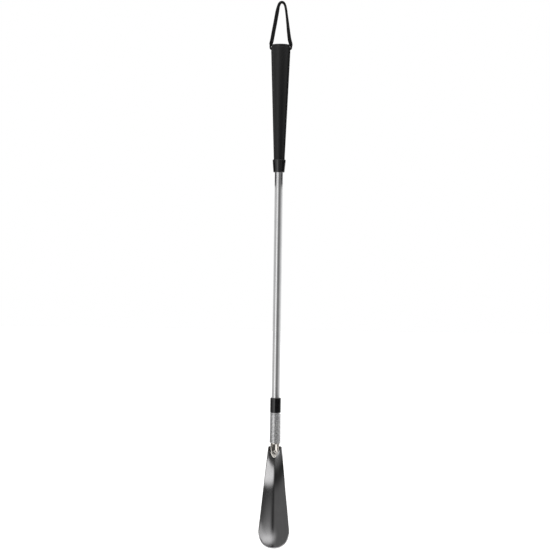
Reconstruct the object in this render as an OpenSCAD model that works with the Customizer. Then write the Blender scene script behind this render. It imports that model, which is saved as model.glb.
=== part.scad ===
// Long shoehorn with a spring neck. It hangs by its loop: the origin is the inside of the
// loop's top, +Z is up, and the blade's hollow side faces -Y. All sizes are in millimetres.

/* [Handle] */
// Length of the handle, from the cap's top to the collar
handle_len = 138.8; // [110:0.1:180]
// Diameter of the grip at its top
grip_top_d = 23.6; // [22.8:0.1:23.8]
// Diameter of the grip at its bottom
grip_bottom_d = 13.2; // [13:0.1:15]
// Wall of the hollow grip
grip_wall = 2.2; // [1.8:0.1:2.4]
// Length of the collar under the grip
collar_len = 15.5; // [13:0.5:20]
// Diameter of the collar at its top
collar_top_d = 15.8; // [15.5:0.1:18]
// Diameter of the collar at its bottom
collar_bottom_d = 13.6; // [13.5:0.1:15.5]

/* [Shaft] */
// Length of bare tube between the collar and the lower sleeve
bare_tube_len = 272.5; // [150:0.5:420]
// Outside diameter of the tube
tube_d = 10; // [9.6:0.1:10]
// Wall of the tube
tube_wall = 1; // [0.8:0.1:1.2]
// Length of tube inside the grip and the collar
tube_in_handle = 108; // [60:1:120]
// Length of the lower sleeve
sleeve_len = 18; // [16:0.5:24]
// Outside diameter of the lower sleeve
sleeve_d = 12.9; // [11.6:0.1:13.4]

/* [Spring] */
// Outside diameter of the spring
spring_d = 13.4; // [11.8:0.1:13.6]
// Diameter of the spring's wire
wire_d = 1.5; // [1.3:0.05:1.55]
// Room between two groups of coils, for the bend at that gap
bend_gap = 1; // [1:0.05:1.5]

/* [Blade] */
// Length of the blade
blade_len = 123.5; // [100:0.5:160]
// Width of the blade at its widest
blade_w = 37.8; // [34:0.1:44]
// Width of the blade at its shoulders
shoulder_w = 17; // [16:0.1:18]
// Thickness of the blade's sheet
blade_t = 1.1; // [0.8:0.1:1.4]
// How far the blade's tip curves forward
blade_curve = 6; // [2:0.5:10]

/* [Hidden] */
$fn = 64;

// Handle, measured down from the inside of the loop's top
hole_z = -56.2;
hole_below_top = 5.5;
top_z = hole_z + hole_below_top;
cap_rim = 1.9;
cap_reveal = 0.8;
cap_r = grip_top_d / 2 - 0.3;
cap_round = 0.9;
cap_neck_r = grip_top_d / 2 - 1.5;
cap_skirt_r = grip_top_d / 2 - 2.4;
cap_skirt_wall = 1.5;
cap_skirt_len = 12;
cap_ceiling = 2.2;
grip_top_z = top_z - cap_rim - cap_reveal;
grip_bottom_z = top_z - handle_len;
grip_slope = (grip_top_d - grip_bottom_d) / 2 / (grip_top_z - grip_bottom_z);
grip_lip = 0.8;
lace_hole_r = 2.3;
pocket_play = 1;

// Collar, tube and lower sleeve
tube_r = tube_d / 2;
tube_bore_r = tube_r - tube_wall;
spigot_len = 9;
spigot_r = grip_bottom_d / 2 - 0.5;
collar_edge = 0.9;
collar_bead_len = 4;
collar_bead_drop = 0.2;
collar_bottom_z = grip_bottom_z - collar_len;
tube_top_z = collar_bottom_z + tube_in_handle;
sleeve_top_z = collar_bottom_z - bare_tube_len;
sleeve_bottom_z = sleeve_top_z - sleeve_len;
bush_len = 12;
sleeve_edge = 0.5;

// Spring: two end groups and seven link groups of coils, with eight gaps between them
spring_r = spring_d / 2;
coil_pitch = wire_d - 0.05;
end_coils = 3;
link_coils = 2;
groups = 9;
end_group_len = wire_d + (end_coils - 1) * coil_pitch;
link_group_len = wire_d + (link_coils - 1) * coil_pitch;
spring_bottom_z = sleeve_bottom_z - 2 * end_group_len - (groups - 2) * link_group_len
    - (groups - 1) * bend_gap;
spring_bore_r = spring_r - wire_d;
spring_spigot_len = end_group_len - 0.6;
plug_len = 15;
pin_d = 2.5;
pin_inset = 0.3;
pin_z = sleeve_bottom_z + 8.5;

// Socket under the spring: a tube whose front half is cut away, and then more of it, obliquely,
// which leaves a tongue behind
socket_r = 5.45;
socket_wall = 1.2;
socket_neck_bore_r = 3.2;
socket_step = 0.6;
tongue_cut_z = spring_bottom_z - socket_step;
tongue_end_z = spring_bottom_z - 18.2;
tongue_turn = 10;

// Blade: an arc-shaped sheet whose inside rests on the back of the tongue
blade_top_z = spring_bottom_z - 3.55;
blade_tip_z = blade_top_z - blade_len;
blade_round_h = 22.4;
blade_wide_z = blade_tip_z + blade_round_h;
blade_top_arc_r = 9.3;
blade_wide_arc_r = 26;
blade_curve_z = tongue_end_z + 1;
tip_power = 2.2;
blade_across = 16;
blade_steps_down = 14;
blade_steps_round = 10;
tip_last_angle = 88;
rivet_z = tongue_end_z + 8;
rivet_shank_r = 1.2;
rivet_inner_head_r = 1.6;
rivet_inner_head_t = 0.6;
rivet_outer_head_r = 2.3;
rivet_outer_head_t = 0.7;
// The tongue's round inside leaves this much room under the middle of the flat inner head
rivet_seat = 0.35;

// Lace: half of its thickness in the loop's plane, and half of its width across it
lace_half_t = 0.75;
lace_half_w = 2.1;
lace_sides = 8;
knot_r = 3.1;
knot_half_len = 2.8;
// The lace's line from the knot out of the left side, over the top and into the right side,
// as [x, height above the side holes]
lace_line = [
    [-2.8, 0], [-6, 0], [-9, 0], [-11.2, 0.1], [-12.3, 0.9], [-12.7, 2.4], [-12.6, 4],
    [-12.3, 5.4], [-11.9, 6.9], [-11.4, 8.7], [-10.5, 13], [-9, 22], [-7.2, 32], [-5.4, 43],
    [-4.3, 49], [-3.2, 53.4], [-1.6, 56.2], [0.4, 57.2], [2.6, 56.4], [4.3, 53.8],
    [5.5, 49], [6.4, 43], [7.8, 32], [9, 22], [10.3, 13], [11.4, 8.7], [11.9, 6.9],
    [12.3, 5.4], [12.6, 4], [12.7, 2.4], [12.3, 0.9], [11.2, 0.1], [9, 0], [6, 0], [2.8, 0]
];

// ---- Shared shapes ----

// Points of an arc in a plane, from angle a to angle b
function arc(x, y, r, a, b, steps = 6) =
    [for (i = [0:steps]) let (t = a + (b - a) * i / steps) [x + r * cos(t), y + r * sin(t)]];

// Radius of the grip's outside at height z
function grip_r(z) = grip_top_d / 2 - (grip_top_z - z) * grip_slope;

// Height at which the hollow of the grip has narrowed to the tube
hollow_bottom_z = grip_top_z - (grip_top_d / 2 - grip_wall - tube_r) / grip_slope;

// Faces of a solid between successive rings of the same number of points, closed at both ends
function ring_faces(rings, sides) = concat(
    [[for (j = [0:sides - 1]) j]],
    [for (i = [0:rings - 2], j = [0:sides - 1]) let (k = (j + 1) % sides)
        [i * sides + j, (i + 1) * sides + j, (i + 1) * sides + k, i * sides + k]],
    [[for (j = [0:sides - 1]) (rings - 1) * sides + sides - 1 - j]]
);

module cross_hole(r, len) {
    translate([0, 0, hole_z]) rotate([0, 90, 0]) cylinder(r = r, h = len, center = true);
}

// ---- Hanging loop ----

// Direction of the lace's line at point i, in the loop's plane
function lace_direction(i) =
    let (
        last = len(lace_line) - 1,
        d = lace_line[min(i + 1, last)] - lace_line[max(i - 1, 0)]
    ) d / norm(d);

function lace_ring(i) =
    let (p = lace_line[i], d = lace_direction(i))
    [for (k = [0:lace_sides - 1])
        let (
            a = 360 * (k + 0.5) / lace_sides,
            u = lace_half_t / cos(180 / lace_sides) * cos(a),
            v = lace_half_w / cos(180 / lace_sides) * sin(a)
        )
        [p[0] - d[1] * u, v, hole_z + p[1] + d[0] * u]];

module hanging_loop() {
    color("#141414") polyhedron(
        points = [for (i = [0:len(lace_line) - 1]) each lace_ring(i)],
        faces = ring_faces(len(lace_line), lace_sides)
    );
}

module loop_knot() {
    color("#141414") translate([0, 0, hole_z]) intersection() {
        sphere(r = knot_r);
        rotate([0, 90, 0]) cylinder(r = 2 * knot_r, h = 2 * knot_half_len, center = true);
    }
}

// ---- Handle ----

module handle_end_cap() {
    skirt_bottom_z = grip_top_z - cap_skirt_len;
    inside_r = cap_skirt_r - cap_skirt_wall;
    color("#232324") difference() {
        rotate_extrude() polygon(concat(
            [[0, top_z]],
            arc(cap_r - cap_round, top_z - cap_round, cap_round, 90, 0),
            [
                [cap_r, top_z - cap_rim], [cap_neck_r, top_z - cap_rim],
                [cap_neck_r, grip_top_z], [cap_skirt_r, grip_top_z],
                [cap_skirt_r, skirt_bottom_z], [inside_r, skirt_bottom_z],
                [inside_r, top_z - cap_ceiling], [0, top_z - cap_ceiling]
            ]
        ));
        cross_hole(lace_hole_r, grip_top_d);
    }
}

module handle_grip() {
    pocket_bottom_z = grip_top_z - cap_skirt_len - pocket_play;
    color("#1a1a1b") difference() {
        rotate_extrude() polygon(concat(
            arc(grip_top_d / 2 - grip_lip, grip_top_z - grip_lip, grip_lip, 90, 0),
            [
                [grip_bottom_d / 2, grip_bottom_z], [spigot_r, grip_bottom_z],
                [spigot_r, grip_bottom_z - spigot_len], [tube_r, grip_bottom_z - spigot_len],
                [tube_r, hollow_bottom_z], [grip_r(pocket_bottom_z) - grip_wall, pocket_bottom_z],
                [cap_skirt_r, pocket_bottom_z], [cap_skirt_r, grip_top_z]
            ]
        ));
        cross_hole(lace_hole_r, 2 * grip_top_d);
    }
}

module handle_collar() {
    top_r = collar_top_d / 2;
    bottom_r = collar_bottom_d / 2;
    ledge_z = grip_bottom_z - spigot_len;
    color("#0e0e0f") rotate_extrude() polygon(concat(
        arc(top_r - collar_edge, grip_bottom_z - collar_edge, collar_edge, 90, 0),
        [[top_r - collar_bead_drop, grip_bottom_z - collar_bead_len]],
        arc(bottom_r - collar_edge, collar_bottom_z + collar_edge, collar_edge, 0, -90),
        [
            [tube_r, collar_bottom_z], [tube_r, ledge_z],
            [spigot_r, ledge_z], [spigot_r, grip_bottom_z]
        ]
    ));
}

module tube_top_bush() {
    bottom_z = tube_top_z - bush_len;
    color("#d8d4c8") rotate_extrude() polygon([
        [tube_r, tube_top_z], [grip_r(tube_top_z) - grip_wall, tube_top_z],
        [grip_r(bottom_z) - grip_wall, bottom_z], [tube_r, bottom_z]
    ]);
}

// ---- Shaft ----

module pin_hole() {
    translate([0, 0, pin_z]) rotate([90, 0, 0]) cylinder(d = pin_d, h = 2 * tube_d, center = true);
}

module shaft_tube() {
    color("#d5d7d9") difference() {
        translate([0, 0, sleeve_bottom_z]) cylinder(r = tube_r, h = tube_top_z - sleeve_bottom_z);
        translate([0, 0, sleeve_bottom_z - 1])
            cylinder(r = tube_bore_r, h = tube_top_z - sleeve_bottom_z + 2);
        pin_hole();
    }
}

module lower_sleeve() {
    r = sleeve_d / 2;
    color("#121213") rotate_extrude() polygon([
        [tube_r, sleeve_top_z], [r - sleeve_edge, sleeve_top_z], [r, sleeve_top_z - sleeve_edge],
        [r, sleeve_bottom_z + sleeve_edge / 2], [r - sleeve_edge / 2, sleeve_bottom_z],
        [tube_r, sleeve_bottom_z]
    ]);
}

// ---- Spring ----

// Height of the top of coil group i, counted from 1 at the sleeve
function group_top_z(i) = i == 1 ? sleeve_bottom_z
    : sleeve_bottom_z - end_group_len - bend_gap - (i - 2) * (link_group_len + bend_gap);

function group_coils(i) = i == 1 || i == groups ? end_coils : link_coils;

module spring_coils(i) {
    color("#c4c6c8") rotate_extrude() for (k = [0:group_coils(i) - 1])
        translate([spring_r - wire_d / 2, group_top_z(i) - wire_d / 2 - k * coil_pitch])
            circle(d = wire_d);
}

module spring_plug() {
    color("#a9abad") difference() {
        union() {
            translate([0, 0, sleeve_bottom_z]) cylinder(r = tube_bore_r, h = plug_len);
            translate([0, 0, sleeve_bottom_z - spring_spigot_len])
                cylinder(r = spring_bore_r, h = spring_spigot_len);
        }
        pin_hole();
    }
}

module spring_plug_pin() {
    color("#8f9193") translate([0, 0, pin_z]) rotate([90, 0, 0])
        cylinder(d = pin_d, h = tube_d - 2 * pin_inset, center = true);
}

// ---- Blade ----

module blade_socket() {
    body_len = spring_bottom_z - tongue_end_z;
    cut = 6 * socket_r;
    slant = atan2(socket_r, tongue_cut_z - tongue_end_z);
    color("#cfc8bf") difference() {
        union() {
            translate([0, 0, spring_bottom_z]) cylinder(r = spring_bore_r, h = spring_spigot_len);
            translate([0, 0, tongue_end_z]) cylinder(r = socket_r, h = body_len);
        }
        // bore, narrower through the neck
        translate([0, 0, spring_bottom_z - 1])
            cylinder(r = socket_neck_bore_r, h = spring_spigot_len + 2);
        translate([0, 0, tongue_end_z - 1])
            cylinder(r = socket_r - socket_wall, h = body_len + 1 - socket_step);
        // front half, and the oblique cut from the middle to the back at the tongue's end,
        // which is turned a little to the left
        for (tilt = [0, slant])
            translate([0, 0, tongue_cut_z]) rotate([tilt, 0, tongue_turn])
                translate([-cut / 2, -cut, -cut]) cube(cut);
        // rivet hole
        translate([0, 0, rivet_z]) rotate([-90, 0, 0]) cylinder(r = rivet_shank_r, h = cut);
    }
}

module blade_rivet() {
    inner_y = socket_r - socket_wall - rivet_seat;
    outer_y = socket_r + blade_t;
    color("#b9b4ad") translate([0, 0, rivet_z]) rotate([-90, 0, 0]) {
        translate([0, 0, inner_y]) cylinder(r = rivet_shank_r, h = outer_y - inner_y);
        translate([0, 0, inner_y - rivet_inner_head_t])
            cylinder(r = rivet_inner_head_r, h = rivet_inner_head_t);
        translate([0, 0, outer_y]) cylinder(r = rivet_outer_head_r, h = rivet_outer_head_t);
    }
}

// Share of the way from the blade's shoulders, 0, to its widest place, 1
function blade_share(z) = min(1, max(0, (blade_top_z - z) / (blade_top_z - blade_wide_z)));

// Radius of the blade's inside arc at height z
function blade_arc_r(z) = blade_top_arc_r + (blade_wide_arc_r - blade_top_arc_r) * blade_share(z);

// How far forward the middle of the blade has come at height z
function blade_forward(z) =
    blade_curve * pow(max(0, (blade_curve_z - z) / (blade_curve_z - blade_tip_z)), 2);

// Stations down the blade, as [height, half width]
blade_stations = concat(
    [for (i = [0:blade_steps_down])
        let (t = i / blade_steps_down)
        [blade_top_z + (blade_wide_z - blade_top_z) * t,
            (shoulder_w + (blade_w - shoulder_w) * t) / 2]],
    [for (i = [1:blade_steps_round])
        let (a = tip_last_angle * i / blade_steps_round)
        [blade_wide_z - blade_round_h * pow(sin(a), 2 / tip_power),
            blade_w / 2 * pow(cos(a), 2 / tip_power)]]
);

// One closed ring of the sheet at a station: along the inside, then back along the outside
function blade_ring(station) =
    let (
        z = station[0],
        inside = blade_arc_r(z),
        outside = inside + blade_t,
        half_angle = asin(station[1] / outside),
        centre_y = socket_r - inside - blade_forward(z)
    )
    concat(
        [for (i = [0:blade_across])
            let (a = half_angle * (1 - 2 * i / blade_across))
            [inside * sin(a), centre_y + inside * cos(a), z]],
        [for (i = [0:blade_across])
            let (a = half_angle * (2 * i / blade_across - 1))
            [outside * sin(a), centre_y + outside * cos(a), z]]
    );

module shoe_blade() {
    color("#55575b") polyhedron(
        points = [for (s = blade_stations) each blade_ring(s)],
        faces = ring_faces(len(blade_stations), 2 * (blade_across + 1))
    );
}

// ---- The model ----

hanging_loop();
loop_knot();
handle_end_cap();
handle_grip();
handle_collar();
tube_top_bush();
shaft_tube();
lower_sleeve();
spring_plug();
spring_plug_pin();
for (i = [1:groups])
    spring_coils(i);
blade_socket();
blade_rivet();
shoe_blade();
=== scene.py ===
from math import asin, cos, pi, radians, sin, sqrt

import bmesh
import bpy
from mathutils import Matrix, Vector


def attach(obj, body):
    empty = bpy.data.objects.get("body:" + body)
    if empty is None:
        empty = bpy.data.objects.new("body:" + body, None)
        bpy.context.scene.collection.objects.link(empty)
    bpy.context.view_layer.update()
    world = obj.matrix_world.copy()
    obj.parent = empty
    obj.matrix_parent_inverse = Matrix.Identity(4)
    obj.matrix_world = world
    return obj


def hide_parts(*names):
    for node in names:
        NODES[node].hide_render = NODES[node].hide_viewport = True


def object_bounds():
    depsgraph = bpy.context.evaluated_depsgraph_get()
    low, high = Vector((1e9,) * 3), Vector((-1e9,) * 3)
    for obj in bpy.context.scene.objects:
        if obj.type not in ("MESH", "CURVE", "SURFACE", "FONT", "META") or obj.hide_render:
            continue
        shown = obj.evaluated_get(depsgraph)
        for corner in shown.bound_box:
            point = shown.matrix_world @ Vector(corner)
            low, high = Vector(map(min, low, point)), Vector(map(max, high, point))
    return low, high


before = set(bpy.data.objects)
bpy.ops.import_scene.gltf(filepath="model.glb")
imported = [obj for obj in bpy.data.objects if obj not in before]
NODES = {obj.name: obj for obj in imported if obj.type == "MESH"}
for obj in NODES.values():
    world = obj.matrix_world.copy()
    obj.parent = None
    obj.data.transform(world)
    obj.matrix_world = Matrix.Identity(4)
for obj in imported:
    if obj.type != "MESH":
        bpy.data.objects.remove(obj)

# Long shoehorn with a spring neck. Lengths in the shape functions are in millimetres, in the
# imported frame: the origin is the inside of the loop's top and the blade's hollow side faces -Y.
MM = 0.001
CAD_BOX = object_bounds()


# ---------------------------------------------------------------- camera

# The camera's place, in metres, and its roll, in degrees: level with the object's middle
CAMERA_X, CAMERA_Y, CAMERA_ROLL = -0.0030, -1.8486, -0.843
LENS = 100


def make_camera():
    """A long lens straight in front."""
    data = bpy.data.cameras.new("camera")
    data.lens = LENS
    data.sensor_width = 36
    data.clip_end = 50
    camera = bpy.data.objects.new("camera", data)
    bpy.context.collection.objects.link(camera)
    middle = (CAD_BOX[0].z + CAD_BOX[1].z) / 2
    camera.location = (CAMERA_X, CAMERA_Y, middle)
    camera.rotation_euler = (radians(90), radians(CAMERA_ROLL), 0)
    bpy.context.scene.camera = camera


make_camera()


# ---------------------------------------------------------------- mesh helpers

def make_mesh(name, points, faces, uvs=None):
    """A smooth-shaded object from points in millimetres; uvs is one pair per point."""
    mesh = bpy.data.meshes.new(name)
    mesh.from_pydata([Vector(p) * MM for p in points], [], faces)
    mesh.validate()
    if uvs:
        layer = mesh.uv_layers.new(name="along")
        for loop in mesh.loops:
            layer.data[loop.index].uv = uvs[loop.vertex_index]
    for polygon in mesh.polygons:
        polygon.use_smooth = True
    obj = bpy.data.objects.new(name, mesh)
    bpy.context.collection.objects.link(obj)
    return obj


def loft(rings, closed=False, caps=True):
    """Faces between successive rings of the same number of points."""
    count, sides = len(rings), len(rings[0])
    points = [p for ring in rings for p in ring]
    faces = []
    for i in range(count if closed else count - 1):
        a, b = i * sides, ((i + 1) % count) * sides
        for j in range(sides):
            k = (j + 1) % sides
            faces.append((a + j, a + k, b + k, b + j))
    if caps and not closed:
        faces.append(tuple(range(sides - 1, -1, -1)))
        faces.append(tuple(range((count - 1) * sides, count * sides)))
    return points, faces


def outward(obj):
    """Turns every face of a closed mesh to face outward."""
    bm = bmesh.new()
    bm.from_mesh(obj.data)
    bmesh.ops.remove_doubles(bm, verts=bm.verts, dist=1e-7)
    bmesh.ops.recalc_face_normals(bm, faces=bm.faces)
    bm.to_mesh(obj.data)
    bm.free()
    return obj


def smooth_line(knots, steps):
    """A Catmull-Rom curve through knots, with steps points for each stretch, and for each
    point how many knots have gone by."""
    points, at = [], []
    for i in range(len(knots) - 1):
        p = [Vector(knots[max(i - 1, 0)]), Vector(knots[i]), Vector(knots[i + 1]),
             Vector(knots[min(i + 2, len(knots) - 1)])]
        for s in range(steps):
            t = s / steps
            points.append(0.5 * (2 * p[1] + (p[2] - p[0]) * t
                                 + (2 * p[0] - 5 * p[1] + 4 * p[2] - p[3]) * t * t
                                 + (3 * p[1] - p[0] - 3 * p[2] + p[3]) * t * t * t))
            at.append(i + t)
    points.append(Vector(knots[-1]))
    at.append(len(knots) - 1)
    return points, at


def between(table, x):
    """Eased value at x of a table of (x, value)."""
    for (x0, v0), (x1, v1) in zip(table, table[1:]):
        if x <= x1:
            t = max(0, (x - x0) / (x1 - x0))
            return v0 + (v1 - v0) * t * t * (3 - 2 * t)
    return table[-1][1]


# ---------------------------------------------------------------- hanging loop

HOLE_Z = -56.2
LACE_LINE = [
    (-2.8, 0), (-6, 0), (-9, 0), (-11.2, 0.1), (-12.3, 0.9), (-12.7, 2.4), (-12.6, 4),
    (-12.3, 5.4), (-11.9, 6.9), (-11.4, 8.7), (-10.5, 13), (-9, 22), (-7.2, 32), (-5.4, 43),
    (-4.3, 49), (-3.2, 53.4), (-1.6, 56.2), (0.4, 57.2), (2.6, 56.4), (4.3, 53.8),
    (5.5, 49), (6.4, 43), (7.8, 32), (9, 22), (10.3, 13), (11.4, 8.7), (11.9, 6.9),
    (12.3, 5.4), (12.6, 4), (12.7, 2.4), (12.3, 0.9), (11.2, 0.1), (9, 0), (6, 0), (2.8, 0)]
# Half of the lace's thickness at some of its points: it is pressed flat in the side holes
LACE_HALF_T = [(0, 0.75), (3, 0.85), (5, 0.98), (8, 1.08), (10, 1.08), (24, 1.08), (26, 1.08),
               (29, 0.98), (31, 0.85), (34, 0.75)]
# Half of the lace's width at some of its points: it is squeezed in the side holes
LACE_HALF_W = [(0, 1.7), (4, 1.8), (8, 2.3), (13, 2.3), (15, 2.05), (20, 2.05), (24, 2.3),
               (26, 2.3), (30, 1.8), (34, 1.7)]
# How far the lace's flat side has turned towards the front, in degrees, at some of its points
LACE_TWIST = [(0, 0), (4, 0), (6, 12), (8, 60), (10, 84), (13, 74), (15, 46), (17, 32),
              (19, 24), (21, 26), (22, 38), (23, 52), (25, 80), (27, 50), (29, 8), (30, 0),
              (34, 0)]


def make_lace():
    """A flat braided lace along LACE_LINE, with both ends inside the cap."""
    steps, sides = 16, 24
    # the braid's strands: how many, their turn in radians for each millimetre, their height
    strands, strand_turn, strand_height = 3, 2.6, 0.035
    # the section's power: at 1 it is an ellipse, and below 1 its sides are flatter
    flatness = 0.8
    line, at = smooth_line([(x, 0, HOLE_Z + h) for x, h in LACE_LINE], steps)
    rings, uvs, run = [], [], 0
    for i, p in enumerate(line):
        ahead = line[min(i + 1, len(line) - 1)] - line[max(i - 1, 0)]
        ahead.normalize()
        if i:
            run += (p - line[i - 1]).length
        across = Vector((0, 1, 0))
        inward = across.cross(ahead)
        turn = radians(between(LACE_TWIST, at[i]))
        half_w, half_t = between(LACE_HALF_W, at[i]), between(LACE_HALF_T, at[i])
        wide = across * cos(turn) + inward * sin(turn)
        thin = inward * cos(turn) - across * sin(turn)
        ring = []
        for k in range(sides):
            a = 2 * pi * k / sides
            c, s = cos(a), sin(a)
            # flat braid: strands cross in both directions over a rounded flat section
            braid = max(sin(strand_turn * run + strands * a),
                        sin(strand_turn * run - strands * a))
            grow = 1 + strand_height * braid
            u = half_w * abs(c) ** flatness * (1 if c > 0 else -1)
            v = half_t * abs(s) ** flatness * (1 if s > 0 else -1)
            ring.append(p + (wide * u + thin * v) * grow)
            uvs.append((run, k / sides))
        rings.append(ring)
    points, faces = loft(rings)
    lace = make_mesh("lace", points, faces, uvs)
    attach(lace, "loop")
    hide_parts("hanging_loop")
    return lace, [p * MM for p in line], run * MM


def make_knot():
    """The lace's two ends tied in one overhand knot, inside the cap."""
    turns, sides, r = 160, 12, 0.85
    half_length, size, step_length = 1.85, 0.77, 0.2
    line = []
    for i in range(turns):
        t = 2 * pi * i / turns
        line.append(Vector((-half_length * sin(3 * t), size * (sin(t) + 2 * sin(2 * t)),
                            HOLE_Z + size * (cos(t) - 2 * cos(2 * t)))))
    rings, uvs = [], []
    for i, p in enumerate(line):
        ahead = (line[(i + 1) % turns] - line[i - 1]).normalized()
        out = (p - Vector((p.x, 0, HOLE_Z))).normalized()
        side = ahead.cross(out).normalized()
        out = side.cross(ahead)
        rings.append([p + (out * cos(2 * pi * k / sides) + side * sin(2 * pi * k / sides)) * r
                      for k in range(sides)])
        uvs += [(i * step_length, k / sides) for k in range(sides)]
    points, faces = loft(rings, closed=True)
    knot = outward(make_mesh("lace_knot", points, faces, uvs))
    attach(knot, "loop")
    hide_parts("loop_knot")
    return knot


lace, lace_path, lace_length = make_lace()
knot = make_knot()


# ---------------------------------------------------------------- spring

SPRING_TOP, SPRING_BOTTOM = -495.5, -532.95
WIRE_D = 1.46
COIL_R = 5.95
COILS = 23
# Heights of the neck's hinges; in turn they bend it forward (about X) and sideways (about Y)
HINGES = [-500.4 - 3.95 * i for i in range(8)]


def make_spring():
    """One wound wire in nine stretches, each riding with its own group of coils.

    A stretch ends where the wire crosses its hinge's axis nearest in height to the hinge, so it
    hardly parts from the next as the neck bends.
    """
    sides, per_turn, end_steps = 14, 48, 4
    top, bottom = SPRING_TOP - WIRE_D / 2, SPRING_BOTTOM + WIRE_D / 2
    total, half = COILS * per_turn, per_turn // 2
    cuts = [0]
    for i, z in enumerate(HINGES):
        # the wire starts on the Y axis, at the back, and meets the X axis a quarter turn later
        first = 0 if i % 2 else per_turn // 4
        cuts.append(first + half * round((total * (top - z) / (top - bottom) - first) / half))
    cuts.append(total)

    def ring(i, past=0.0, size=1.0):
        """The wire's section at step i, moved on along the wire by past and scaled to size."""
        a = 2 * pi * i / per_turn + pi / 2
        z = top + (bottom - top) * i / total
        out, on = Vector((cos(a), sin(a), 0)), Vector((-sin(a), cos(a), 0)) * past
        radius = WIRE_D / 2 * size
        return [(*(out * (COIL_R + radius * cos(b)) + on).xy, z + radius * sin(b))
                for b in (2 * pi * k / sides for k in range(sides))]

    bodies = ["shaft"] + ["spring_%d" % i for i in range(2, 9)] + ["blade"]
    made = []
    dome = [pi / 2 * k / end_steps for k in range(1, end_steps)]
    for part in range(len(bodies)):
        start, end = cuts[part], cuts[part + 1]
        rings = [ring(i) for i in range(start, end + 1)]
        steps = list(range(start, end + 1))
        # an end at a hinge is rounded, and at rest it lies inside the next stretch
        if part > 0:
            rings = [ring(start, -WIRE_D / 2 * sin(b), cos(b)) for b in reversed(dome)] + rings
            steps = [start] * len(dome) + steps
        if part < len(HINGES):
            rings += [ring(end, WIRE_D / 2 * sin(b), cos(b)) for b in dome]
            steps += [end] * len(dome)
        uvs = [(2 * pi * COIL_R * i / per_turn, k / sides) for i in steps for k in range(sides)]
        points, faces = loft(rings)
        wire = outward(make_mesh("spring_wire_%d" % (part + 1), points, faces, uvs))
        wire.data.set_sharp_from_angle(angle=radians(50))
        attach(wire, bodies[part])
        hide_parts("spring_coils_%d" % (part + 1))
        made.append(wire)
    return made


spring = make_spring()


# ---------------------------------------------------------------- socket and rivet

SOCKET_R, SOCKET_WALL = 5.45, 1.2
TONGUE_CUT, TONGUE_END, TONGUE_TURN = -533.55, -551.15, radians(10)
RIVET_Z = -543.15
BLADE_T = 1.1


def make_socket():
    """A stepped neck that the spring grips, over a tube end cut away to a tongue."""
    neck_r, bore_r, inside_r = 5.2, 3.2, SOCKET_R - SOCKET_WALL
    neck_top, chamfer = -528.9, 0.15
    # how softly the cut leaves the level and starts to slope, in square millimetres
    softness = 0.12
    slope = (TONGUE_END - TONGUE_CUT) / SOCKET_R
    around, rows, rim_steps, rim = 160, 14, 10, 0.42
    rings = []
    for k in range(around):
        a = 2 * pi * k / around

        def cut(r):
            behind = r * cos(a + TONGUE_TURN)
            return TONGUE_CUT + (behind + sqrt(behind * behind + softness)) / 2 * slope

        profile = [(bore_r, neck_top), (neck_r - chamfer, neck_top), (neck_r, neck_top - chamfer),
                   (neck_r, SPRING_BOTTOM), (SOCKET_R - chamfer, SPRING_BOTTOM)]
        top, end = SPRING_BOTTOM - chamfer, cut(SOCKET_R) + rim
        profile += [(SOCKET_R, top + (end - top) * i / rows) for i in range(rows)]
        for i in range(rim_steps + 1):
            b = pi * i / rim_steps
            r = SOCKET_R - SOCKET_WALL / 2 * (1 - cos(b))
            profile.append((r, cut(r) + rim * (1 - sin(b))))
        start = cut(inside_r) + rim
        profile += [(inside_r, start + (TONGUE_CUT - start) * i / rows)
                    for i in range(1, rows + 1)]
        profile.append((bore_r, TONGUE_CUT))
        rings.append([(r * sin(a), r * cos(a), z) for r, z in profile])
    points, faces = loft(rings, closed=True)
    socket = outward(make_mesh("socket", points, faces))
    socket.data.set_sharp_from_angle(angle=radians(38))
    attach(socket, "blade")
    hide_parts("blade_socket")
    return socket


def make_rivet():
    """Shank with a low domed head at each end, through the tongue and the blade."""
    around, dome_steps, shank_r = 32, 8, 1.2
    inner_r, inner_h, outer_r, outer_h = 1.6, 0.62, 2.3, 0.7
    # the curved wall falls away this far under the inner head's edge
    sag = 0.3
    inner, outer = SOCKET_R - SOCKET_WALL - sag, SOCKET_R + BLADE_T
    dome = [pi / 2 * i / dome_steps for i in range(1, dome_steps + 1)]
    profile = [(0, inner - inner_h)]
    profile += [(inner_r * sin(a), inner - inner_h * cos(a)) for a in dome]
    profile += [(shank_r, inner), (shank_r, outer), (outer_r, outer)]
    profile += [(outer_r * cos(a), outer + outer_h * sin(a)) for a in dome[:-1]]
    profile += [(0, outer + outer_h)]
    turns = [2 * pi * k / around for k in range(around)]
    rings = [[(r * cos(a), y, RIVET_Z + r * sin(a)) for r, y in profile] for a in turns]
    points, faces = [p for ring in rings for p in ring], []
    count = len(profile)
    for k in range(around):
        a, b = k * count, ((k + 1) % around) * count
        faces += [(a + j, b + j, b + j + 1, a + j + 1) for j in range(count - 1)]
    rivet = outward(make_mesh("rivet", points, faces))
    rivet.data.set_sharp_from_angle(angle=radians(38))
    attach(rivet, "blade")
    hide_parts("blade_rivet")
    return rivet


socket = make_socket()
rivet = make_rivet()


# ---------------------------------------------------------------- blade

BLADE_TOP, BLADE_WIDE, BLADE_TIP = -536.5, -637.6, -660.0
SHOULDER_W, BLADE_W = 17, 37.8
TOP_ARC_R, WIDE_ARC_R = 9.3, 26
CURVE, CURVE_TOP = 6, -550.15
TIP_POWER = 2.2


def blade_share(z):
    """Share of the way from the blade's top to its widest place."""
    return min(1, max(0, (BLADE_TOP - z) / (BLADE_TOP - BLADE_WIDE)))


def blade_half_width(z):
    if z >= BLADE_WIDE:
        return (SHOULDER_W + (BLADE_W - SHOULDER_W) * blade_share(z)) / 2
    s = min(1, (BLADE_WIDE - z) / (BLADE_WIDE - BLADE_TIP))
    return BLADE_W / 2 * (1 - s ** TIP_POWER) ** (1 / TIP_POWER)


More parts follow.
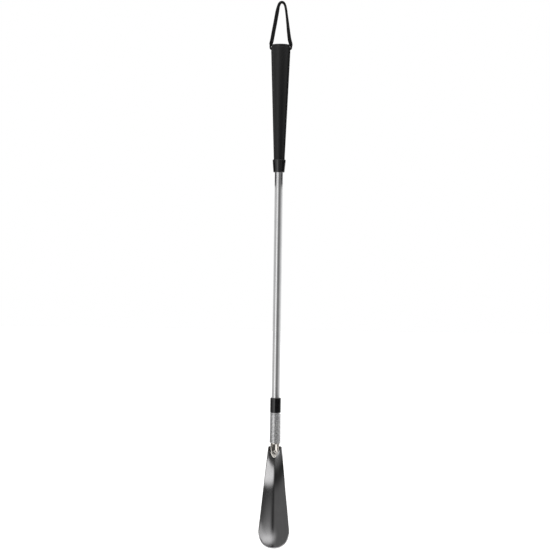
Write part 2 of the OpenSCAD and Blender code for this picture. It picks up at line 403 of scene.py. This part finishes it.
def blade_opening(z):
    """Share of the arc's opening reached at height z: like blade_share, with an eased end."""
    softness = 0.006
    t = (BLADE_TOP - z) / (BLADE_TOP - BLADE_WIDE)
    return (t + 1 - sqrt((t - 1) ** 2 + softness)) / 2


def blade_skin(x, z, out):
    """Point of the blade's sheet at x and z, out millimetres behind its inside face."""
    inside = TOP_ARC_R + (WIDE_ARC_R - TOP_ARC_R) * blade_opening(z)
    forward = CURVE * max(0, (CURVE_TOP - z) / (CURVE_TOP - BLADE_TIP)) ** 2
    centre = SOCKET_R - inside - forward
    a = asin(x / (inside + BLADE_T))
    return ((inside + out) * sin(a), centre + (inside + out) * cos(a), z)


def blade_outline():
    """(x, z) round the edge, clockwise from the middle of the top."""
    side = []
    corner, top_steps, corner_steps, rows, rounds = 1.2, 10, 6, 60, 44
    for i in range(top_steps):
        side.append(((SHOULDER_W / 2 - corner) * i / top_steps, BLADE_TOP))
    for i in range(corner_steps):
        a = pi / 2 * i / corner_steps
        side.append((SHOULDER_W / 2 - corner + corner * sin(a),
                     BLADE_TOP - corner + corner * cos(a)))
    for i in range(rows):
        z = BLADE_TOP - corner + (BLADE_WIDE - BLADE_TOP + corner) * i / rows
        side.append((blade_half_width(z), z))
    for i in range(rounds):
        a = pi / 2 * i / rounds
        x = BLADE_W / 2 * cos(a) ** (2 / TIP_POWER)
        z = BLADE_WIDE - (BLADE_WIDE - BLADE_TIP) * sin(a) ** (2 / TIP_POWER)
        side.append((x, z))
    side.append((0, BLADE_TIP))
    left = [(-x, z) for x, z in reversed(side[1:-1])]
    return side + left


def make_blade():
    """A sheet of even thickness with a rounded edge all round."""
    outline = blade_outline()
    count = len(outline)
    r = BLADE_T / 2

    def inset(d):
        moved = []
        for i, (x, z) in enumerate(outline):
            x0, z0 = outline[i - 1]
            x1, z1 = outline[(i + 1) % count]
            n = Vector((z0 - z1, x1 - x0)).normalized()
            moved.append((x - n.x * d, z - n.y * d))
        return moved

    def ring(flat, out):
        return [blade_skin(x, z, out) for x, z in flat]

    steps, edge_steps = 14, 8
    rim = inset(r)
    # both faces are laid out from a line down the middle, which stops short of both ends
    high, low = BLADE_TOP - 7, BLADE_TIP + 13
    spine = [(0, min(high, max(low, z))) for x, z in rim]

    def face_ring(t, out):
        """The ring that lies the share t of the way from the middle line to the rim."""
        return ring([(s[0] + (p[0] - s[0]) * t, s[1] + (p[1] - s[1]) * t)
                     for s, p in zip(spine, rim)], out)

    rings = [face_ring(i / steps, 0) for i in range(steps + 1)]
    for i in range(1, edge_steps):
        b = pi * i / edge_steps
        rings.append(ring(inset(r * (1 - sin(b))), r - r * cos(b)))
    rings += [face_ring(1 - i / steps, BLADE_T) for i in range(steps + 1)]
    points, faces = loft(rings, caps=False)
    blade = outward(make_mesh("blade", points, faces))
    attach(blade, "blade")
    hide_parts("shoe_blade")
    return blade


blade = make_blade()


# ---------------------------------------------------------------- materials

class Graph:
    """A node tree, with the helpers that materials and lights share."""

    def __init__(self, tree):
        self.tree = tree

    def add(self, kind, inputs=None, **settings):
        node = self.tree.nodes.new(kind)
        for key, value in settings.items():
            setattr(node, key, value)
        for key, value in (inputs or {}).items():
            if hasattr(value, "is_output"):
                self.tree.links.new(value, node.inputs[key])
            else:
                node.inputs[key].default_value = value
        return node

    def math(self, operation, *values):
        return self.add("ShaderNodeMath", dict(enumerate(values)), operation=operation).outputs[0]

    def times(self, *values):
        result = values[0]
        for value in values[1:]:
            result = self.math("MULTIPLY", result, value)
        return result

    def rise(self, value, start, end, low=0.0, high=1.0):
        """Goes smoothly from low at start to high at end."""
        return self.add("ShaderNodeMapRange", {"Value": value, "From Min": start, "From Max": end,
                                               "To Min": low, "To Max": high},
                        interpolation_type="SMOOTHSTEP").outputs["Result"]

    def mix(self, share, a, b):
        return self.add("ShaderNodeMix", {"Factor": share, "A": a, "B": b}).outputs["Result"]

    def curve(self, value, table):
        """Level along value, from a table of (place, level) with levels up to 2."""
        first, last, brightest = table[0][0], table[-1][0], 2
        share = self.add("ShaderNodeMapRange", {"Value": value, "From Min": first,
                                                "From Max": last}).outputs["Result"]
        ramp = self.add("ShaderNodeValToRGB", {"Fac": share})
        elements = ramp.color_ramp.elements
        while len(elements) < len(table):
            elements.new(0.5)
        for element, (place, level) in zip(elements, table):
            element.position = (place - first) / (last - first)
            element.color = (*[level / brightest] * 3, 1)
        return self.math("MULTIPLY", ramp.outputs["Color"], brightest)


class Shader(Graph):
    """A principled material with the helpers that all the finishes share."""

    def __init__(self, name, **constants):
        self.material = bpy.data.materials.new(name)
        self.material.use_nodes = True
        super().__init__(self.material.node_tree)
        self.bsdf = self.tree.nodes["Principled BSDF"]
        for socket, value in constants.items():
            self.bsdf.inputs[socket.replace("_", " ")].default_value = value
        self.place = self.add("ShaderNodeTexCoord").outputs["Object"]

    def link(self, output, socket):
        self.tree.links.new(output, self.bsdf.inputs[socket])

    def stretched(self, x, y, z, source=None):
        return self.add("ShaderNodeMapping", {"Vector": source or self.place,
                                              "Scale": (x, y, z)}).outputs["Vector"]

    def noise(self, vector, scale, detail=3, roughness=0.55):
        return self.add("ShaderNodeTexNoise", {"Vector": vector, "Scale": scale,
                                               "Detail": detail, "Roughness": roughness}
                        ).outputs["Fac"]

    def spread(self, value, low, high, start=0.3, stop=0.7):
        return self.add("ShaderNodeMapRange", {"Value": value, "From Min": start, "From Max": stop,
                                               "To Min": low, "To Max": high}).outputs["Result"]

    def tint(self, value, dark, light, start=0.3, stop=0.7):
        ramp = self.add("ShaderNodeValToRGB", {"Fac": value})
        ramp.color_ramp.elements[0].position = start
        ramp.color_ramp.elements[0].color = (*dark, 1)
        ramp.color_ramp.elements[1].position = stop
        ramp.color_ramp.elements[1].color = (*light, 1)
        return ramp.outputs["Color"]

    def bump(self, height, distance, strength=1.0, after=None):
        inputs = {"Height": height, "Distance": distance, "Strength": strength}
        if after:
            inputs["Normal"] = after
        normal = self.add("ShaderNodeBump", inputs).outputs["Normal"]
        self.link(normal, "Normal")
        return normal


def lace_finish():
    """Black braid: fine strands that cross in both directions, fibres and a little fuzz, and
    painted shade that darkens the braid's valleys.
    """
    strands, strand_turn = 9, 7.8
    s = Shader("braided_lace", Metallic=0.0, Specular_IOR_Level=0.18, Sheen_Weight=0.04,
               Sheen_Roughness=0.5)
    uv = s.add("ShaderNodeUVMap", uv_map="along").outputs["UV"]
    parts = s.add("ShaderNodeSeparateXYZ", {0: uv})
    run, turn = parts.outputs["X"], parts.outputs["Y"]
    waves = []
    for way in (1, -1):
        phase = s.math("ADD", s.math("MULTIPLY", run, strand_turn),
                       s.math("MULTIPLY", turn, way * strands * 2 * pi))
        waves.append(s.math("SINE", phase))
    braid_relief_and_shade = s.math("MAXIMUM", *waves)
    fibre = s.noise(s.stretched(1, 1, 0.2), 5200)
    fuzz = s.noise(s.place, 900, 4)
    # base colour: painted shade, darker in the braid's valleys between the strands, mixed with
    # random fuzz in tone
    s.link(s.tint(s.math("ADD", s.math("MULTIPLY", braid_relief_and_shade, 0.25), fuzz),
                  (0.001, 0.001, 0.0012), (0.006, 0.006, 0.0065)), "Base Color")
    s.link(s.spread(fibre, 0.62, 0.85), "Roughness")
    first = s.bump(braid_relief_and_shade, 0.0001, 0.6)
    s.bump(fibre, 0.00004, 0.5, first)
    return s.material


def plastic_finish(name, dark, light, rough, grain, level=0.5, scuff=0.06):
    """Moulded plastic: fine spark-eroded grain, a slow drift in gloss and a few dull scuffs."""
    s = Shader(name, Metallic=0.0, Specular_IOR_Level=level)
    cloud = s.noise(s.stretched(1, 1, 0.35), 60, 4)
    skin = s.noise(s.place, 2600, 3, 0.6)
    scratches = s.noise(s.stretched(1, 1, 0.06), 1300, 2, 0.7)
    s.link(s.tint(cloud, dark, light), "Base Color")
    worn = s.spread(scratches, 0, scuff, 0.58, 0.72)
    s.link(s.math("ADD", s.spread(cloud, rough - 0.04, rough + 0.05), worn), "Roughness")
    s.bump(skin, grain, 0.6)
    return s.material


def metal_finish(name, dark, light, rough, lines, stretch, scale, marks=0.1, depth=2e-6,
                 source=None):
    """Polished metal: fine lines in the direction it was drawn or polished, faint handling
    marks, and a slow change of tone."""
    s = Shader(name, Metallic=1.0)
    place = s.add("ShaderNodeUVMap", uv_map=source).outputs["UV"] if source else s.place
    line = s.noise(s.stretched(*stretch, source=place), scale, 4, 0.6)
    cloud = s.noise(s.place, 70, 5, 0.6)
    spots = s.noise(s.place, 420, 6, 0.7)
    tone = s.math("ADD", s.math("MULTIPLY", line, 0.4), s.math("MULTIPLY", cloud, 0.6))
    s.link(s.tint(tone, dark, light), "Base Color")
    smear = s.spread(spots, 0, marks, 0.52, 0.75)
    s.link(s.math("ADD", s.spread(line, rough - lines, rough + lines), smear), "Roughness")
    s.bump(line, depth, 0.8)
    return s.material


def turned_finish(name, dark, light, rough):
    """Turned steel, with tool marks round it."""
    # the marks' phase, in radians: for each metre of height, and how far it wanders
    mark_turn, mark_wander = 24000, 3
    s = Shader(name, Metallic=1.0)
    parts = s.add("ShaderNodeSeparateXYZ", {0: s.place})
    wander = s.noise(s.place, 300, 3)
    height = s.math("ADD", s.math("MULTIPLY", parts.outputs["Z"], mark_turn),
                    s.math("MULTIPLY", wander, mark_wander))
    grooves = s.math("SINE", height)
    s.link(s.tint(wander, dark, light), "Base Color")
    s.link(s.spread(grooves, rough - 0.06, rough + 0.06, -1, 1), "Roughness")
    s.bump(grooves, 6e-6, 0.6)
    return s.material


LACE = lace_finish()
GRIP = plastic_finish("satin_black_plastic", (0.0035, 0.0035, 0.004), (0.006, 0.006, 0.0065),
                      rough=0.4, grain=6e-6, level=0.36)
CAP = plastic_finish("cap_black_plastic", (0.0035, 0.0035, 0.004), (0.006, 0.006, 0.0065),
                     rough=0.22, grain=5e-6, level=0.55)
GLOSS = plastic_finish("gloss_black_plastic", (0.003, 0.003, 0.0034), (0.005, 0.005, 0.0055),
                       rough=0.11, grain=2e-6, level=0.75, scuff=0.03)
NYLON = plastic_finish("natural_nylon", (0.62, 0.59, 0.5), (0.74, 0.71, 0.62),
                       rough=0.5, grain=1e-5, level=0.4)
CHROME = metal_finish("polished_tube", (0.68, 0.68, 0.69), (0.8, 0.8, 0.8),
                      rough=0.16, lines=0.03, stretch=(1, 1, 0.004), scale=1800)
SPRING = metal_finish("spring_wire", (0.68, 0.68, 0.69), (0.78, 0.78, 0.78),
                      rough=0.2, lines=0.03, stretch=(0.04, 14, 1), scale=3, marks=0.03,
                      source="along")
NICKEL = metal_finish("nickel_plate", (0.8, 0.76, 0.71), (0.88, 0.84, 0.79),
                      rough=0.13, lines=0.02, stretch=(1, 1, 0.3), scale=700, marks=0.04)
BLADE = metal_finish("blade_steel", (0.43, 0.425, 0.43), (0.49, 0.485, 0.49),
                     rough=0.085, lines=0.015, stretch=(1, 1, 0.02), scale=1100, marks=0.04,
                     depth=1e-6)
STEEL = turned_finish("turned_steel", (0.5, 0.5, 0.51), (0.66, 0.66, 0.66), rough=0.34)


def paint(obj, material):
    """Gives obj this material in all its slots."""
    if not obj.data.materials:
        obj.data.materials.append(material)
    for slot in obj.material_slots:
        slot.material = material


for obj in (lace, knot):
    paint(obj, LACE)
for obj in spring:
    paint(obj, SPRING)
for obj in (socket, rivet):
    paint(obj, NICKEL)
paint(blade, BLADE)
for node, material in (("handle_end_cap", CAP), ("handle_grip", GRIP), ("handle_collar", GLOSS),
                       ("tube_top_bush", NYLON), ("shaft_tube", CHROME), ("lower_sleeve", GLOSS),
                       ("spring_plug", STEEL), ("spring_plug_pin", STEEL)):
    paint(NODES[node], material)


# ---------------------------------------------------------------- studio

def make_world():
    """A soft studio all round: a bright ceiling, under it bands of light and shade by how far
    they stand to the left or right, and a shorter panel just over the object's middle."""
    world = bpy.data.worlds.new("studio")
    bpy.context.scene.world = world
    world.use_nodes = True
    world.node_tree.nodes.clear()
    g = Graph(world.node_tree)
    way = g.add("ShaderNodeSeparateXYZ", {0: g.add("ShaderNodeTexCoord").outputs["Generated"]})
    x, y, z = (way.outputs[axis] for axis in "XYZ")
    turn = g.times(g.math("ARCTAN2", x, g.math("SUBTRACT", 1, y)), 2 * 180 / pi)
    # (degrees round from the front towards the right, brightness)
    ring = g.curve(turn, [(-180, 0.85), (-144, 0.85), (-106, 0.65), (-97, 0.57), (-74, 0.52),
                          (-53, 0.67), (-45, 0.8), (-40, 1.45), (-29, 1.45), (-22, 0.85),
                          (-11.5, 0.48), (0, 0.3), (17, 0.2), (35, 0.19), (53, 0.35),
                          (74, 0.55), (97, 0.74), (128, 1.0), (160, 0.9), (180, 0.85)])
    over = g.curve(turn, [(-180, 0.85), (-140, 0.8), (-120, 0.62), (-90, 0.6), (-40, 0.75),
                          (-20, 0.72), (-10, 0.62), (2, 0.3), (12, 0.12), (25, 0.12),
                          (44, 0.24), (77, 0.5), (100, 0.8), (140, 1.0), (180, 0.85)])
    aslant = g.curve(turn, [(-180, 1.0), (-137, 0.8), (-104, 0.42), (-84, 0.5), (-70, 0.9),
                            (-62, 1.25), (-38, 1.3), (-24, 0.85), (-12, 0.36), (-4, 0.25),
                            (16, 0.3), (37, 0.36), (60, 0.5), (86, 0.75), (110, 1.1),
                            (150, 1.2), (180, 1.0)])
    band = g.math("SUBTRACT", g.rise(z, 0.04, 0.062), g.rise(z, 0.11, 0.13))
    level = g.mix(g.rise(g.math("ABSOLUTE", z), 0.2, 0.3), g.mix(band, ring, over), aslant)
    level = g.mix(g.rise(z, 0.86, 0.94), level, 1.4)
    seen = g.add("ShaderNodeLightPath").outputs["Is Camera Ray"]
    light = g.add("ShaderNodeBackground", {"Color": (1, 1, 1, 1),
                                           "Strength": g.mix(seen, level, 1.0)})
    g.add("ShaderNodeOutputWorld", {"Surface": light.outputs[0]})


# Distance of the studio's cards from the object's middle line, in metres
CARD_R = 0.12
FLAG_LEVEL = 0.06


def make_card(name, start, end, bottom, top, low_radius=CARD_R, radius=CARD_R):
    """A curved card round the object, which only gloss sees, with nothing on it yet. start
    and end are degrees round from the front towards the right."""
    across = 48
    points = []
    for i in range(across + 1):
        a = radians(start + (end - start) * i / across)
        points += [(r * sin(a), -r * cos(a), z) for r, z in ((low_radius, bottom), (radius, top))]
    faces = [(2 * i, 2 * i + 2, 2 * i + 3, 2 * i + 1) for i in range(across)]
    mesh = bpy.data.meshes.new(name)
    mesh.from_pydata(points, [], faces)
    card = bpy.data.objects.new(name, mesh)
    bpy.context.collection.objects.link(card)
    material = bpy.data.materials.new(name)
    material.use_nodes = True
    material.node_tree.nodes.clear()
    card.data.materials.append(material)
    card.visible_camera = False
    card.visible_diffuse = False
    card.visible_shadow = False
    card.visible_transmission = False
    g = Graph(material.node_tree)
    place = g.add("ShaderNodeSeparateXYZ", {0: g.add("ShaderNodeTexCoord").outputs["Object"]})
    x, y, z = (place.outputs[axis] for axis in "XYZ")
    turn = g.times(g.math("ARCTAN2", x, g.math("MULTIPLY", y, -1)), 180 / pi)
    return g, turn, z


def light_card(g, level):
    glow = g.add("ShaderNodeEmission", {"Color": (1, 1, 1, 1), "Strength": level})
    g.add("ShaderNodeOutputMaterial", {"Surface": glow.outputs[0]})


def make_flags():
    """Dark flags beside and behind the black parts, which keep their edges black."""
    for name, start, end, bottom, top in (
            ("flag_grip_left", -172, -124, -0.191, -0.03),
            ("flag_grip_right", 92, 172, -0.191, -0.03),
            ("flag_collar_left", -172, -76, -0.215, -0.191),
            ("flag_collar_right", 50, 125, -0.215, -0.191),
            ("flag_sleeve_left", -172, -92, -0.506, -0.487),
            ("flag_sleeve_right", -12, 112, -0.506, -0.487)):
        g = make_card(name, start, end, bottom, top)[0]
        light_card(g, FLAG_LEVEL)


def make_cap_light():
    """A bright ring above the handle, which the cap's rounded edge mirrors."""
    g, turn = make_card("cap_light", -180, 180, -0.028, 0.05)[:2]
    light_card(g, g.rise(g.math("ABSOLUTE", turn), 50, 120, 1.5, 0.2))


def make_blade_surround():
    """What the blade and the tongue mirror: a dim grey room on the left with an opening at
    its top, a bright window and a low lamp on the right, and a strip of light below."""
    g, turn, z = make_card("surround", -180, 180, -0.7, -0.544)

    def between_turns(start, full, last, end):
        return g.math("SUBTRACT", g.rise(turn, start, full), g.rise(turn, last, end))

    room = g.curve(z, [(-0.7, 0.19), (-0.61, 0.175), (-0.601, 0.165), (-0.595, 0.11),
                       (-0.59, 0.05), (-0.584, 0.035), (-0.579, 0.06), (-0.573, 0.17),
                       (-0.567, 0.22), (-0.544, 0.22)])
    room = g.times(room, g.rise(turn, -6, 7, 1, g.rise(z, -0.649, -0.64, 0.6, 0.15)))
    corner = g.times(g.rise(z, -0.6505, -0.653), between_turns(-5, 4, 40, 50))
    room = g.times(room, g.math("SUBTRACT", 1, corner))
    opening = g.times(g.rise(z, -0.566, -0.562, 0, 1.2), between_turns(-72, -58, -24, -12))
    window = g.times(g.rise(g.math("MULTIPLY_ADD", turn, 0.00018, z), -0.594, -0.583),
                     g.rise(z, -0.579, -0.5715, 1.27, 0), g.rise(turn, -2, 16))
    lamp = g.curve(g.math("MULTIPLY_ADD", turn, 0.00013, z),
                   [(-0.7, 0.0), (-0.6512, 0.0), (-0.6502, 0.1), (-0.6492, 0.36), (-0.6482, 0.6),
                    (-0.6468, 1.0), (-0.6435, 1.05), (-0.638, 0.6), (-0.632, 0.32),
                    (-0.626, 0.22), (-0.618, 0.15), (-0.608, 0.1), (-0.6, 0.05),
                    (-0.594, 0.0), (-0.544, 0.0)])
    lamp = g.times(lamp, g.mix(g.rise(z, -0.645, -0.634), g.rise(turn, -22, 24),
                               g.rise(turn, 6, 24)),
                   g.mix(g.rise(z, -0.6475, -0.6425), g.rise(turn, 40, 100, 1, 0.45),
                         g.rise(turn, 26, 82, 1, 0.22)))
    strip = g.times(g.rise(z, -0.664, -0.67, 0, 1.4), between_turns(-60, -40, 40, 60))
    level = g.rise(turn, 0, 12, 0, 0.03)
    for part in (room, opening, window, lamp, strip):
        level = g.math("ADD", level, part)
    away = g.math("ABSOLUTE", turn)
    light_card(g, g.mix(g.rise(away, 112, 124), level, g.rise(away, 140, 160, 0.05, 0.16)))


def make_floor_flag():
    """A dark cone under the blade's tip, which keeps the tip's edge dark."""
    g = make_card("flag_low", -180, 180, -0.6865, -0.686, 0.0001, 0.045)[0]
    light_card(g, 0.05)


def make_floor():
    """A wide pale floor, 30 mm below the blade's tip, which gloss doesn't see."""
    half, z = 8, (BLADE_TIP - 30) * MM
    mesh = bpy.data.meshes.new("floor")
    mesh.from_pydata([(-half, -half, z), (half, -half, z), (half, half, z), (-half, half, z)],
                     [], [(0, 1, 2, 3)])
    floor = bpy.data.objects.new("floor", mesh)
    bpy.context.collection.objects.link(floor)
    material = bpy.data.materials.new("pale_floor")
    material.use_nodes = True
    shader = material.node_tree.nodes["Principled BSDF"]
    shader.inputs["Base Color"].default_value = (0.9, 0.9, 0.9, 1)
    shader.inputs["Roughness"].default_value = 0.9
    shader.inputs["Specular IOR Level"].default_value = 0.0
    shader.inputs["Emission Color"].default_value = (1, 1, 1, 1)
    shader.inputs["Emission Strength"].default_value = 0.5
    floor.data.materials.append(material)
    floor.visible_glossy = False


make_world()
make_flags()
make_cap_light()
make_blade_surround()
make_floor_flag()
make_floor()
bpy.context.scene.view_settings.view_transform = "Standard"
